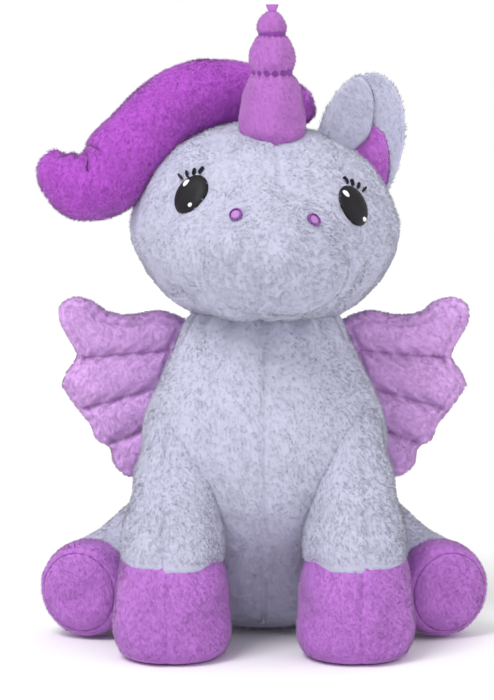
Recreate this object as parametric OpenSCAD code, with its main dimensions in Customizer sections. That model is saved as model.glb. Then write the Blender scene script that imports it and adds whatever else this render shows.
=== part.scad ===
// Sitting plush unicorn with wings, sewn from short-pile fabric and stuffed.
// Each fabric panel, filling and embroidered detail is a solid of its own. Millimetres, +Z up.
// The toy faces -Y and sits on the plane z = 0, so its own left side is +X.

/* [Body] */
// Height of the neck seam above the floor
neck_z = 166; // [150:1:180]
// Half width of the hips
hip_half_width = 62; // [54:1:70]
// Half width of the chest
chest_half_width = 54; // [48:1:60]
// Thickness of a fabric panel with its pile
fabric = 2; // [1.5:0.1:3]
// Half width of the flat seat panel
seat_half_width = 26; // [20:1:32]
// Radius of the scented grain pouch
pouch_r = 22; // [16:1:26]

/* [Head] */
// Half width of the head at the cheeks
head_half_width = 65; // [58:1:72]
// Half height of the head
head_half_height = 52; // [46:1:58]
// Half width of the muzzle
muzzle_half_width = 40; // [34:1:46]
// Sideways tilt of the head
head_tilt = 4; // [0:1:8]
// Turn of the head toward its own left
head_turn = 4; // [0:1:10]
// Length of the horn above its root
horn_length = 57; // [46:1:70]
// Radius of the horn at its root
horn_r = 16; // [13:0.5:19]
// Length of an ear above the middle of its root
ear_length = 52; // [46:1:66]
// Half width of an ear
ear_half_width = 21.5; // [18:0.5:25]
// Largest radius of the mane
mane_r = 18; // [14:0.5:19]

/* [Limbs] */
// Distance from the middle to a front leg's axis
front_leg_x = 45; // [42:1:49]
// Radius of a front leg at its hoof seam
front_leg_r = 24; // [20:1:26]
// Height of a front leg's pivot
shoulder_z = 108; // [98:1:118]
// Largest radius of a front hoof
front_hoof_r = 28.5; // [25:0.5:30]
// Height of the seam between a front hoof and its leg
hoof_seam_z = 50; // [42:1:58]
// Radius of a haunch
haunch_r = 33; // [28:1:36]
// Radius of a hind hoof
hind_hoof_r = 24; // [21:0.5:25]
// Reach of a wing outward from its middle
wing_reach = 32.5; // [26:0.5:36]
// Largest half thickness of a wing
wing_half_thickness = 8; // [5:0.5:9]
// Largest radius of the tail
tail_r = 14.5; // [11:0.5:16]

/* [Fit] */
// Gap between pieces that move apart
joint_gap = 0.5; // [0.3:0.1:1]
// Gap between an ear and the head it folds against
ear_gap = 1.4; // [0.8:0.1:2]
// Gap between sewn or filled pieces that stay together
seam_gap = 0.15; // [0.1:0.05:0.3]

/* [Hidden] */

lavender = [0.72, 0.72, 0.84];
purple = [0.66, 0.38, 0.75];
lining_purple = [0.6, 0.33, 0.68];
embroidery = [0.06, 0.05, 0.07];
fibre = [0.93, 0.93, 0.92];
left = 1;
right = -1;
inset = fabric + seam_gap;
round_fn = 48;

function unit(v) = v / norm(v);
function reversed(list) = [for (i = [len(list) - 1 : -1 : 0]) list[i]];
function total(list) = list * [for (v = list) 1];
function steps(from, to, count) = [for (i = [0 : count]) from + (to - from) * i / count];

// ---- Solids from rings of points ----

// Closed solid through rings that all have the same even number of points. Quads from a given ring on, or
// from a given point of a ring on, are split along their other diagonal, so that nested skins stay parallel.
module loft(rings, turned_ring = 1000, turned_point = 1000) {
    n = len(rings[0]);
    last = (len(rings) - 1) * n;
    sides = [
        for (i = [0 : len(rings) - 2], j = [0 : n - 1])
            let (a = i * n + j, b = i * n + (j + 1) % n)
                each i >= turned_ring || j >= turned_point
                    ? [[a, b, b + n], [a, b + n, a + n]]
                    : [[a, b, a + n], [b, b + n, a + n]]
    ];
    ends = [
        for (j = [0 : n / 2 - 2])
            each [
                [j, n - 2 - j, j + 1], [j, n - 1 - j, n - 2 - j],
                [last + j, last + j + 1, last + n - 2 - j], [last + j, last + n - 2 - j, last + n - 1 - j]
            ]
    ];
    polyhedron([for (ring = rings) each ring], [for (f = concat(sides, ends)) f]);
}

// Turns the +Z axis into a given direction
module aim(direction) {
    polar = acos(direction.z / norm(direction));
    rotate([0, polar, atan2(direction.y, direction.x)]) children();
}

// Ball at one point with a cone that runs from it to another point
module ball_and_cone(from, to, ball, cone_from, cone_to) {
    translate(from) sphere(r = ball, $fn = round_fn);
    translate(from) aim(to - from) cylinder(r1 = cone_from, r2 = cone_to, h = norm(to - from), $fn = round_fn);
}

// Everything beyond a plane through a point, on the side its normal points to
module beyond(point, normal) {
    size = 400;
    translate(point) aim(normal) translate([-size / 2, -size / 2, 0]) cube(size);
}

// ---- Stuffed skins, seen from a point inside them ----
// A skin is [centre, frame, lobes, flats]. The frame's rows are its side, up and pole directions,
// a lobe is [centre, half axes] in that frame and a flat is [outward normal, distance] in the world.

// How far an ellipsoid reaches along d from the origin, or 0 where d misses it
function reach(d, lobe) =
    let (
        a = [for (k = [0 : 2]) d[k] / lobe[1][k]],
        b = [for (k = [0 : 2]) lobe[0][k] / lobe[1][k]],
        room = pow(a * b, 2) - (a * a) * (b * b - 1)
    )
    room < 0 ? 0 : max(0, (a * b + sqrt(room)) / (a * a));

blend_power = 7;
function skin_radius(skin, local, world, depth) =
    let (
        round_r = pow(total([for (lobe = skin[2]) pow(reach(local, lobe), blend_power)]), 1 / blend_power),
        cuts = [for (f = skin[3]) if (world * f[0] > 0.001) (f[1] - depth) / (world * f[0])]
    )
    min(concat([round_r - depth], cuts));

function skin_point(skin, polar, around, depth = 0) =
    let (
        local = [sin(polar) * cos(around), sin(polar) * sin(around), cos(polar)],
        world = local * skin[1]
    )
    skin[0] + world * skin_radius(skin, local, world, depth);

polar_steps = 14;
around_step = 18;
pole_edge = 4;

function whole_polars() = steps(pole_edge, 180 - pole_edge, polar_steps);

// The skin pulled in by a depth, as one closed solid
module skin_solid(skin, depth, polars = whole_polars()) {
    loft([
        for (polar = polars)
            [for (around = [-90 : around_step : 269]) skin_point(skin, polar, around, depth)]
    ]);
}

// Fabric panel through polar angles, between two angles round the pole
module skin_panel(skin, polars, around_from, around_to, turned = true) {
    inner = [for (around = [-90 : around_step : 270]) if (around > around_from + 1 && around < around_to - 1) around];
    arounds = concat([around_from], inner, [around_to]);
    loft([
        for (polar = polars)
            concat(
                [for (around = arounds) skin_point(skin, polar, around)],
                [for (around = reversed(arounds)) skin_point(skin, polar, around, fabric)]
            )
    ], turned_point = turned ? len(arounds) : 1000);
}

// Fabric cap round the pole through polar angles
module skin_cap(skin, polars) {
    arounds = [-90 : around_step : 269];
    loft(concat(
        [for (polar = polars) [for (around = arounds) skin_point(skin, polar, around)]],
        [for (polar = reversed(polars)) [for (around = arounds) skin_point(skin, polar, around, fabric)]]
    ), turned_ring = len(polars));
}

// Raised oval pad on a skin, with half sizes in degrees and a lean from the polar direction
pad_sides = 14;
function pad_point(skin, at, half, lean, share, turn, out) =
    let (
        p = half[0] * share * cos(turn),
        q = half[1] * share * sin(turn),
        polar = at[0] + p * cos(lean) - q * sin(lean)
    )
    skin_point(skin, polar, at[1] + (p * sin(lean) + q * cos(lean)) / sin(at[0]), -out);

module skin_pad(skin, at, half, lean, lift, height) {
    turns = [for (j = [0 : pad_sides - 1]) j * 360 / pad_sides];
    shares = [0.1, 0.6, 1];
    loft(concat(
        [for (s = shares) [for (turn = turns) pad_point(skin, at, half, lean, s, turn, lift + height * (1 - s * s / 3))]],
        [for (s = reversed(shares)) [for (turn = turns) pad_point(skin, at, half, lean, s, turn, lift)]]
    ));
}

// ---- Limbs as balls and cones ----

front_hoof_centre = [front_leg_x, -60, 0];
shoulder = [front_leg_x - 5, -34, shoulder_z];
front_leg_foot = [front_hoof_centre.x, front_hoof_centre.y, hoof_seam_z];
front_leg_end = front_leg_foot + 0.6 * front_leg_r * unit(front_leg_foot - shoulder);
shoulder_r = front_leg_r - 4;

// Front leg above its hoof seam, pulled in by a depth, for the toy's left side
module front_leg_form(depth) {
    intersection() {
        front_leg_form_inner(depth);
        translate([0, -100, hoof_seam_z]) cube(200);
    }
}

shoulder_swing = 14;
module swung_front_leg(angle) {
    translate(shoulder) rotate([-angle, 0, 0]) translate(-shoulder)
        ball_and_cone(
            shoulder, front_leg_end, shoulder_r + joint_gap, shoulder_r + joint_gap, front_leg_r + joint_gap);
}

hip = [42, 22, 44];
ankle = [85, -2, 26];
foot_direction = unit([0.4, -0.9, -0.06]);
hind_hoof_length = 24;
ankle_r = hind_hoof_r - 1;

// Hind leg behind its hoof seam, pulled in by a depth, for the toy's left side
module hind_leg_form(depth) {
    difference() {
        union() {
            ball_and_cone(hip, ankle, haunch_r - depth, haunch_r - 5 - depth, ankle_r - 0.4 - depth);
            translate(ankle) sphere(r = ankle_r - depth, $fn = round_fn);
        }
        beyond(ankle, foot_direction);
    }
}

hip_axis = unit(cross(ankle - hip, [0, 0, 1]));
hip_lift = 18;
module lifted_hind_leg(angle) {
    translate(hip) rotate(a = angle, v = hip_axis) translate(-hip)
        translate(hip) aim(ankle - hip)
            cylinder(r1 = haunch_r - 5 + joint_gap, r2 = ankle_r + joint_gap, h = norm(ankle - hip), $fn = round_fn);
}

tail_root = [0, 56, 48];
tail_end = [0, front_hoof_r + 60 - tail_r, tail_r + 3];
tail_root_r = tail_r - 4;
module tail_form(depth) {
    ball_and_cone(tail_root, tail_end, tail_root_r - depth, tail_root_r - 0.4 - depth, tail_r - 0.4 - depth);
    translate(tail_end) sphere(r = tail_r - depth, $fn = round_fn);
}

// ---- Torso ----

torso_centre = [0, -5, 80 / 166 * neck_z];
tall = neck_z / 166;
upright = [[1, 0, 0], [0, 1, 0], [0, 0, 1]];
torso_skin = [
    torso_centre, upright,
    [
        [[0, 22, -26 * tall], [hip_half_width, 50, 58 * tall]],
        [[0, -10, 20 * tall], [chest_half_width, 52, 62 * tall]],
        [[0, -8, 50 * tall], [0.74 * chest_half_width, 40, 60 * tall]]
    ],
    [
        [[0, 0, -1], torso_centre.z - inset],
        [[0, 0, 1], neck_z - torso_centre.z],
        [[0, 1, 0], 63]
    ]
];

// Room cut from the torso for the legs on one side
module limb_room(side) {
    mirror([side == left ? 0 : 1, 0, 0]) {
        for (angle = [0 : shoulder_swing / 2 : shoulder_swing]) swung_front_leg(angle);
        translate([front_hoof_centre.x, front_hoof_centre.y, -1])
            cylinder(r = front_hoof_r + joint_gap, h = hoof_seam_z + 1.5, $fn = round_fn);
        translate(hip) sphere(r = haunch_r + joint_gap, $fn = round_fn);
        for (angle = [0, hip_lift]) lifted_hind_leg(angle);
    }
}

// A wider, simpler room for the filling: one hull for each leg
module filling_room(side) {
    room_fn = 24;
    mirror([side == left ? 0 : 1, 0, 0]) {
        hull() {
            translate(shoulder) sphere(r = shoulder_r + joint_gap + fabric, $fn = room_fn);
            translate(front_leg_foot) sphere(r = front_hoof_r + joint_gap + fabric, $fn = room_fn);
        }
        hull() {
            translate(hip) sphere(r = haunch_r + joint_gap + fabric, $fn = room_fn);
            translate(hip + 0.6 * (ankle - hip) + [0, 0, 4]) sphere(r = haunch_r - 1, $fn = room_fn);
        }
    }
}

module body_panel(side) {
    color(lavender) mirror([side == right ? 0 : 1, 0, 0]) difference() {
        skin_panel(torso_skin, whole_polars(), 90 + seam_gap, 270 - seam_gap, side == right);
        limb_room(right);
        tail_form(-joint_gap);
    }
}

seat_centre = [0, 14, 0];
module seat_panel() {
    color(lavender) translate(seat_centre) cylinder(r = seat_half_width, h = fabric, $fn = round_fn);
}

pouch_centre = [0, 6, torso_centre.z - 2];
module scent_pouch() {
    color([0.86, 0.8, 0.68]) translate(pouch_centre) sphere(r = pouch_r, $fn = 32);
}

module body_filling() {
    color(fibre) difference() {
        skin_solid(torso_skin, inset);
        for (side = [left, right]) filling_room(side);
        hull() tail_form(-joint_gap - fabric);
        translate(pouch_centre) sphere(r = pouch_r + seam_gap, $fn = 32);
    }
}

// ---- Head ----

head_centre = [0, -20, neck_z + 40];
head_side = unit([cos(head_turn), sin(head_turn), -tan(head_tilt)]);
head_face = unit(cross(head_side, [0, 0, 1]));
head_up = cross(head_face, head_side);
head_frame = [head_side, head_up, head_face];
head_lobes = [
    [[0, 4, 0], [head_half_width, head_half_height - 2, 51]],
    [[0, -9, 36], [muzzle_half_width, 30, 32]]
];
head_bottom = head_centre.z - neck_z - joint_gap;
head_skin = [head_centre, head_frame, head_lobes, [[[0, 0, -1], head_bottom]]];
muzzle_edge = 38;
muzzle_polars = steps(pole_edge, muzzle_edge, 5);
cheek_polars = [for (polar = steps(muzzle_edge, 180 - pole_edge, polar_steps)) max(polar, muzzle_edge + seam_gap)];
head_polars = concat(muzzle_polars, [for (i = [1 : polar_steps]) cheek_polars[i]]);

horn_root = head_centre + [4, -16, head_half_height + 1];
horn_lean = 5;

// Room cut from the head for the ball at the root of the horn
module horn_room() {
    translate(horn_root) sphere(r = horn_r + joint_gap, $fn = round_fn);
}

module head_panel(side) {
    start = side == left ? -90 : 90;
    color(lavender) difference() {
        skin_panel(head_skin, cheek_polars, start + seam_gap, start + 180 - seam_gap);
        horn_room();
    }
}

module muzzle_panel() {
    color(lavender) skin_cap(head_skin, muzzle_polars);
}

module head_filling() {
    color(fibre) difference() {
        skin_solid(head_skin, inset, head_polars);
        horn_room();
    }
}

// ---- Embroidery on the head ----

eye_half = [8.2, 10];
eye_lift = 0.45;
eye_height = 0.7;
glint_height = 0.3;
function eye_at(side) = [47, side == left ? 25 : 155];
function eye_lean(side) = side * -4;

module eye(side) {
    color(embroidery) skin_pad(head_skin, eye_at(side), eye_half, eye_lean(side), eye_lift, eye_height);
}

// Both eyes catch the light from the toy's right: a large glint above and a small one below
function glints_at(side) = side == left ? [[-1.9, 8.9], [1.6, -10]] : [[4.7, -4.2], [-4.4, 6.4]];

module eye_glints(side) {
    lift = eye_lift + eye_height + seam_gap;
    color([0.95, 0.95, 0.96]) {
        skin_pad(head_skin, eye_at(side) + glints_at(side)[0], [1.1, 2], 0, lift, glint_height);
        skin_pad(head_skin, eye_at(side) + glints_at(side)[1], [0.95, 1.1], 0, lift, glint_height);
    }
}

module lashes(side) {
    at = eye_at(side);
    color(embroidery) for (i = [0 : 3])
        skin_pad(
            head_skin, [at[0] + 4.5 + 2.2 * i, at[1] + side * (15.6 - 3.4 * i)],
            [0.4, 2.1 - 0.1 * i], -side * (18 + 16 * i), eye_lift, 0.5);
}

module nostril(side) {
    at = [19, side == left ? 30 : 150];
    color(lining_purple) difference() {
        skin_pad(head_skin, at, [2.9, 2.9], 0, seam_gap, 0.7);
        skin_pad(head_skin, at, [1.3, 1.3], 0, -1, 4);
    }
}

// ---- Horn ----

// Outline of the horn as [share of radius, share of length], from its root ball to its tip
horn_outline = [
    [1, 0], [0.99, 0.1], [0.95, 0.22], [0.85, 0.34], [0.7, 0.43], [0.6, 0.48],
    [0.67, 0.53], [0.69, 0.6], [0.62, 0.7], [0.47, 0.78], [0.39, 0.805],
    [0.44, 0.84], [0.42, 0.9], [0.3, 0.965], [0.12, 1]
];
groove_shares = [0.48, 0.805];

module horn_form(depth) {
    rotate_extrude($fn = round_fn) polygon(concat(
        [[0, -horn_r + depth]],
        [for (turn = [-75 : 15 : -15]) (horn_r - depth) * [cos(turn), sin(turn)]],
        [for (p = horn_outline) [max(0.6, p[0] * horn_r - depth), p[1] * horn_length - depth * p[1]]],
        [[0, horn_length - depth]]
    ));
}

module on_horn() {
    translate(horn_root) rotate([horn_lean, 0, 1]) children();
}

module horn_cover() {
    color(purple) on_horn() {
        difference() {
            horn_form(0);
            horn_form(fabric);
        }
        translate([0, 0, horn_length - 0.3]) cylinder(r1 = 1.6, r2 = 3, h = 4, $fn = 24);
    }
}

module horn_filling() {
    color(fibre) on_horn() horn_form(inset);
}

module horn_threads() {
    thread_r = 0.5;
    color([0.5, 0.25, 0.58]) on_horn() for (i = [0, 1])
        translate([0, 0, groove_shares[i] * horn_length])
            rotate_extrude($fn = round_fn)
                translate([[0.6, 0.39][i] * horn_r + seam_gap + thread_r, 0]) circle(r = thread_r, $fn = 12);
}

// ---- Mane ----

// Path of the mane from its root behind the horn to its curled tip, seen from the middle
// of the head and widened with it, with the share of its radius
mane_path = [
    for (p = [
        [17, 27, 53, 0.5], [14, 27, 56, 0.76], [6, 26, 62, 0.88], [-8, 24, 66, 0.94],
        [-28, 15, 67, 0.98], [-48, 4, 58, 1], [-63, -4, 43, 1], [-76, -10, 29, 0.98],
        [-89, -14, 24, 0.86], [-98, -15, 30, 0.62], [-103, -15, 37, 0.36]
    ])
        [head_centre + [p[0] * head_half_width / 65, p[1], p[2] * head_half_height / 52], p[3]]
];
mane_sides = 16;

function mane_ring(i, depth) =
    let (
        a = mane_path[max(0, i - 1)][0],
        b = mane_path[min(len(mane_path) - 1, i + 1)][0],
        forward = unit(b - a),
        across = unit(cross([0, 1, 0], forward)),
        over = cross(forward, across),
        r = mane_path[i][1] * mane_r - depth
    )
    [for (j = [0 : mane_sides - 1])
        mane_path[i][0] + r * (cos(j * 360 / mane_sides) * across - sin(j * 360 / mane_sides) * over)];

module mane_form(depth, first, last) {
    loft([for (i = [first : last]) mane_ring(i, depth)]);
}

module off_head() {
    difference() {
        children();
        skin_solid(head_skin, -ear_gap, head_polars);
    }
}

module mane_cover() {
    color(purple) difference() {
        mane_form(0, 0, len(mane_path) - 1);
        skin_solid(head_skin, -joint_gap, head_polars);
        mane_inside(fabric);
    }
}

module mane_inside(depth) {
    difference() {
        mane_form(depth, 1, len(mane_path) - 2);
        skin_solid(head_skin, -joint_gap - depth, head_polars);
    }
}

module mane_filling() {
    color(fibre) mane_inside(inset);
}

// ---- Ears ----

// Ear seen flat as [share of half width, share of length] of its edge on one side
ear_outline = [[0.8, -0.2], [0.97, 0.1], [1, 0.32], [0.93, 0.52], [0.78, 0.7], [0.56, 0.85], [0.28, 0.96], [0.06, 1]];
// Before mirroring: the left ear stands up, the right one lies back behind the mane
ear_root = head_centre + [46 / 65 * head_half_width, 20, 30 / 52 * head_half_height];
function ear_direction(side) = unit(side == left ? [0.22, 0.05, 0.97] : [0.34, 0.72, 0.6]);
function ear_side(side) = unit(cross([0.1, 1, side == left ? 0 : -1], ear_direction(side)));
function ear_out(side) = cross(ear_side(side), ear_direction(side));
ear_cup = 7;

// One layer of an ear between two depths in front of its back face
function ear_layer(side, from, to) = [
    for (p = reversed(ear_outline))
        let (w = p[0] * ear_half_width)
            concat(
                [for (s = [-1 : 0.25 : 1]) ear_point(side, s * w, p[1], to)],
                [for (s = [1 : -0.25 : -1]) ear_point(side, s * w, p[1], from)]
            )
];
function ear_point(side, across, share, depth) =
    let (cup = ear_cup * (1 - pow(across / ear_half_width, 2)) * (1 - share * share))
    ear_root + across * ear_side(side) + share * ear_length * ear_direction(side) + (depth - cup) * ear_out(side);

module ear_layer_solid(side, from, to) {
    mirror([side == left ? 0 : 1, 0, 0]) loft(ear_layer(side, from, to));
}

module ear_back(side) {
    color(lavender) off_head() ear_layer_solid(side, 0, fabric);
}

module ear_lining(side) {
    color(lining_purple) off_head() ear_layer_solid(side, fabric + seam_gap, 2 * fabric + seam_gap);
}

// ---- Wings ----

// Scalloped wing edge as [distance out, height] from the middle of the wing
wing_edge = [
    [32, -4], [29.5, 2], [24, 11], [28, 20], [32.5, 29], [32, 37], [25, 41], [16, 39], [8, 33.5],
    [-4, 32], [-19, 34], [-33, 28], [-29, 18], [-25, 4], [-21.5, -13], [-18, -28], [-15, -40],
    [-9, -49], [-2, -51], [5, -45], [7, -36.5], [14, -32], [17.5, -24], [26, -13]
];
wing_edge_reach = 32.5;

function wing_ring(share, height) = [
    for (p = reversed(wing_edge))
        [share * (p[0] + (p[0] > 0 ? wing_reach / wing_edge_reach - 1 : 0) * p[0]), height, share * p[1]]
];
function wing_height(share) = inset + (wing_half_thickness - inset) * (1 - pow(share, 4));
wing_shares = [0.12, 0.5, 0.8, 0.93, 1];
wing_middle = [chest_half_width + 18, 3, neck_z - 34];

module on_wing(side) {
    mirror([side == left ? 0 : 1, 0, 0]) translate(wing_middle) children();
}

module wing_panel(side, facing) {
    rings = concat(
        [for (s = wing_shares) wing_ring(s, wing_height(s))],
        [for (s = reversed(wing_shares)) wing_ring(s, wing_height(s) - fabric)]
    );
    color(purple) on_wing(side) mirror([0, facing, 0]) loft(rings);
}

// Lines of quilting, each from its root end to its outer end, seen from the middle of the wing
wing_channels = [[[-34, 15], [27, 10]], [[-28, -2], [22, -16]], [[-22, -22], [12, -36]]];
channel_width = 9;

module wing_channel_cut(line) {
    along = line[1] - line[0];
    translate([line[0].x, 0, line[0].y]) rotate([0, -atan2(along.y, along.x), 0])
        translate([-2, -20, -channel_width / 2]) cube([norm(along) + 2, 40, channel_width]);
}

module wing_filling(side) {
    shares = [0.12, 0.5, 0.8, 0.93];
    depth = fabric + 2 * seam_gap;
    color(fibre) on_wing(side) difference() {
        loft(concat(
            [for (s = shares) wing_ring(s, wing_height(s) - depth)],
            [for (s = reversed(shares)) wing_ring(s, depth - wing_height(s))]
        ));
        for (line = wing_channels) wing_channel_cut(line);
    }
}

// ---- Legs and tail ----

module on_side(side) {
    mirror([side == left ? 0 : 1, 0, 0]) children();
}

module front_leg_sleeve(side) {
    color(lavender) on_side(side) difference() {
        front_leg_form(0);
        front_leg_form_inner(fabric);
    }
}

module front_leg_form_inner(depth) {
    ball_and_cone(shoulder, front_leg_end, shoulder_r - depth, shoulder_r - 0.4 - depth, front_leg_r - depth);
}

// Outline of a front hoof as [radius, height], pulled in by a depth
function front_hoof_outline(depth) = [
    [front_hoof_r - 4 - depth, inset],
    [front_hoof_r - 1 - depth, 8],
    [front_hoof_r - depth, 18],
    [front_hoof_r - 0.6 - depth, 30],
    [front_hoof_r - 2.4 - depth, 42],
    [front_leg_r - depth, hoof_seam_z - seam_gap]
];

module front_leg_hoof(side) {
    color(purple) on_side(side) translate([front_hoof_centre.x, front_hoof_centre.y, 0])
        rotate_extrude($fn = round_fn) polygon(concat(front_hoof_outline(0), reversed(front_hoof_outline(fabric))));
}

module front_leg_sole(side) {
    color(purple) on_side(side) translate([front_hoof_centre.x, front_hoof_centre.y, 0])
        cylinder(r = front_hoof_r - 4, h = fabric, $fn = round_fn);
}

module front_leg_filling(side) {
    color(fibre) on_side(side) {
        intersection() {
            front_leg_form_inner(inset);
            translate([0, -100, hoof_seam_z + seam_gap]) cube(200);
        }
        translate([front_hoof_centre.x, front_hoof_centre.y, hoof_seam_z - 8])
            cylinder(r = front_leg_r - inset - 3, h = 11, $fn = round_fn);
        translate([front_hoof_centre.x, front_hoof_centre.y, 0])
            rotate_extrude($fn = round_fn) polygon(concat(
                [[0, inset]],
                [for (p = front_hoof_outline(inset)) [p[0], max(inset, min(p[1], hoof_seam_z - 3))]],
                [[0, hoof_seam_z - 3]]
            ));
    }
}

module on_ankle() {
    translate(ankle) aim(foot_direction) children();
}

function hind_hoof_outline(depth) = [
    [ankle_r - depth, seam_gap],
    [hind_hoof_r - depth, 8],
    [hind_hoof_r - 0.4 - depth, 15],
    [hind_hoof_r - 3.5 - depth, hind_hoof_length - inset]
];

module hind_leg_sleeve(side) {
    color(lavender) on_side(side) difference() {
        hind_leg_form(0);
        hind_leg_form(fabric);
        translate(ankle) aim(-foot_direction) translate([0, 0, -1]) cylinder(r = ankle_r - fabric, h = 8, $fn = round_fn);
    }
}

module hind_leg_hoof(side) {
    color(purple) on_side(side) on_ankle()
        rotate_extrude($fn = round_fn) polygon(concat(hind_hoof_outline(0), reversed(hind_hoof_outline(fabric))));
}

module hind_leg_sole(side) {
    color(purple) on_side(side) on_ankle() translate([0, 0, hind_hoof_length - fabric])
        cylinder(r = hind_hoof_r - 3.7, h = fabric, $fn = round_fn);
}

module hind_leg_filling(side) {
    color(fibre) on_side(side) {
        hind_leg_form(inset);
        on_ankle() translate([0, 0, -2]) rotate_extrude($fn = round_fn) polygon(concat(
            [[0, 0]],
            [for (p = hind_hoof_outline(inset)) [p[0], p[1] + 1.8]],
            [[0, hind_hoof_length - inset + 1.8]]
        ));
    }
}

module tail_cover() {
    color(purple) difference() {
        tail_form(0);
        tail_form(fabric);
    }
}

module tail_filling() {
    color(fibre) tail_form(inset);
}

body_panel(left);  // body_panel_left
body_panel(right);  // body_panel_right
seat_panel();
body_filling();
scent_pouch();
head_panel(left);  // head_panel_left
head_panel(right);  // head_panel_right
muzzle_panel();
head_filling();
eye(left);  // eye_left
eye(right);  // eye_right
eye_glints(left);  // eye_glints_left
eye_glints(right);  // eye_glints_right
lashes(left);  // lashes_left
lashes(right);  // lashes_right
nostril(left);  // nostril_left
nostril(right);  // nostril_right
horn_cover();
horn_filling();
horn_threads();
mane_cover();
mane_filling();
ear_back(left);  // ear_left_back
ear_lining(left);  // ear_left_lining
ear_back(right);  // ear_right_back
ear_lining(right);  // ear_right_lining
wing_panel(left, 1);  // wing_left_front
wing_panel(left, 0);  // wing_left_back
wing_filling(left);  // wing_left_filling
wing_panel(right, 1);  // wing_right_front
wing_panel(right, 0);  // wing_right_back
wing_filling(right);  // wing_right_filling
front_leg_sleeve(left);  // front_leg_left_sleeve
front_leg_hoof(left);  // front_leg_left_hoof
front_leg_sole(left);  // front_leg_left_sole
front_leg_filling(left);  // front_leg_left_filling
front_leg_sleeve(right);  // front_leg_right_sleeve
front_leg_hoof(right);  // front_leg_right_hoof
front_leg_sole(right);  // front_leg_right_sole
front_leg_filling(right);  // front_leg_right_filling
hind_leg_sleeve(left);  // hind_leg_left_sleeve
hind_leg_hoof(left);  // hind_leg_left_hoof
hind_leg_sole(left);  // hind_leg_left_sole
hind_leg_filling(left);  // hind_leg_left_filling
hind_leg_sleeve(right);  // hind_leg_right_sleeve
hind_leg_hoof(right);  // hind_leg_right_hoof
hind_leg_sole(right);  // hind_leg_right_sole
hind_leg_filling(right);  // hind_leg_right_filling
tail_cover();
tail_filling();
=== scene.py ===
# %% [markdown]
# # A seated plush unicorn
#
# The real toy is a set of fabric panels, sewn edge to edge, turned right side out and stuffed with loose
# fibre. The solids in model.glb already say how big each stuffed piece is and where it turns.
# Here each of them gets its look: the roundness that filling gives, the seams that pull it in, and the pile.

import bpy
import numpy as np
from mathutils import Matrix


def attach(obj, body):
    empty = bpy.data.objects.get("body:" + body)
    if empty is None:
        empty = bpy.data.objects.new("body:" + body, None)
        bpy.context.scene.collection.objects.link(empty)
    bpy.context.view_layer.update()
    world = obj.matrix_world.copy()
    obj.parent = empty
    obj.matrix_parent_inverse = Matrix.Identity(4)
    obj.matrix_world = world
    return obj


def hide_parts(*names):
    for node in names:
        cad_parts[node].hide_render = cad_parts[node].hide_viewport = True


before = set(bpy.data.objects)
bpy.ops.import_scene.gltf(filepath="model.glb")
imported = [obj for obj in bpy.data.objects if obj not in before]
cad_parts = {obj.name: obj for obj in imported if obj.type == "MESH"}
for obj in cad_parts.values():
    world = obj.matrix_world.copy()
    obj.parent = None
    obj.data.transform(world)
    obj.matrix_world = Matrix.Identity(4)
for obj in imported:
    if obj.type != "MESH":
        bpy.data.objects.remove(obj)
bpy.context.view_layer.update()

# %% [markdown]
# ## Three small tools for points
#
# Every surface below is a grid of points: rows of rings. A ring goes once round the piece, and the rows step
# along it. Turning rings into a mesh is the same job each time, so it is written once. Each end is closed with
# a single point, because a stuffed toy has no open holes.

# %% Unit vectors, smooth steps and soft undulation


def unit(v):
    """Each vector divided by its own length."""
    v = np.asarray(v, float)
    return v / np.linalg.norm(v, axis=-1, keepdims=True)


def smooth_step(x, low, high):
    """0 below low, 1 above high, and 3t^2 - 2t^3 between them."""
    t = np.clip((np.asarray(x, float) - low) / (high - low), 0, 1)
    return t * t * (3 - 2 * t)


def bump_at(distance, width):
    """A bell exp(-(distance / width)^2): 1 on a line, nearly 0 two widths away."""
    return np.exp(-(np.asarray(distance) / width) ** 2)


def undulation(points, size, seed, waves=14):
    """Soft hand-stuffed unevenness: a sum of sine waves of about one size in random directions, about -1 to 1."""
    rng = np.random.default_rng(seed)
    turns = unit(rng.normal(size=(waves, 3))) * (2 * np.pi / size) * rng.uniform(0.7, 1.5, (waves, 1))
    return np.sin(points @ turns.T + rng.uniform(0, 2 * np.pi, waves)).sum(-1) * (1.4 / waves) ** 0.5 * 0.55


print("points ready")

# %% Rings into a closed mesh


def close_rings(rings):
    """Points and faces of a closed skin: quads between neighbouring rings, a fan to the middle of each end."""
    rows, cols = rings.shape[:2]
    points = np.concatenate([rings.reshape(-1, 3), rings[:1].mean(1), rings[-1:].mean(1)])
    here = np.arange(rows * cols).reshape(rows, cols)
    beside = np.roll(here, -1, axis=1)
    quads = np.stack([here[:-1], beside[:-1], beside[1:], here[1:]], -1).reshape(-1, 4)
    top = np.stack([beside[0], here[0], np.full(cols, rows * cols)], -1)
    end = np.stack([here[-1], beside[-1], np.full(cols, rows * cols + 1)], -1)
    return points, quads, np.concatenate([top, end])


def outward(points, quads, fans):
    """The same faces, turned round if the solid's signed volume says that they point inwards."""
    tri = np.concatenate([quads[:, [0, 1, 2]], quads[:, [0, 2, 3]], fans]) if len(quads) else fans
    a, b, c = (points[tri[:, k]] for k in range(3))
    if np.einsum("ij,ij->i", a, np.cross(b, c)).sum() < 0:
        quads, fans = quads[:, ::-1], fans[:, ::-1]
    return quads, fans


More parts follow.
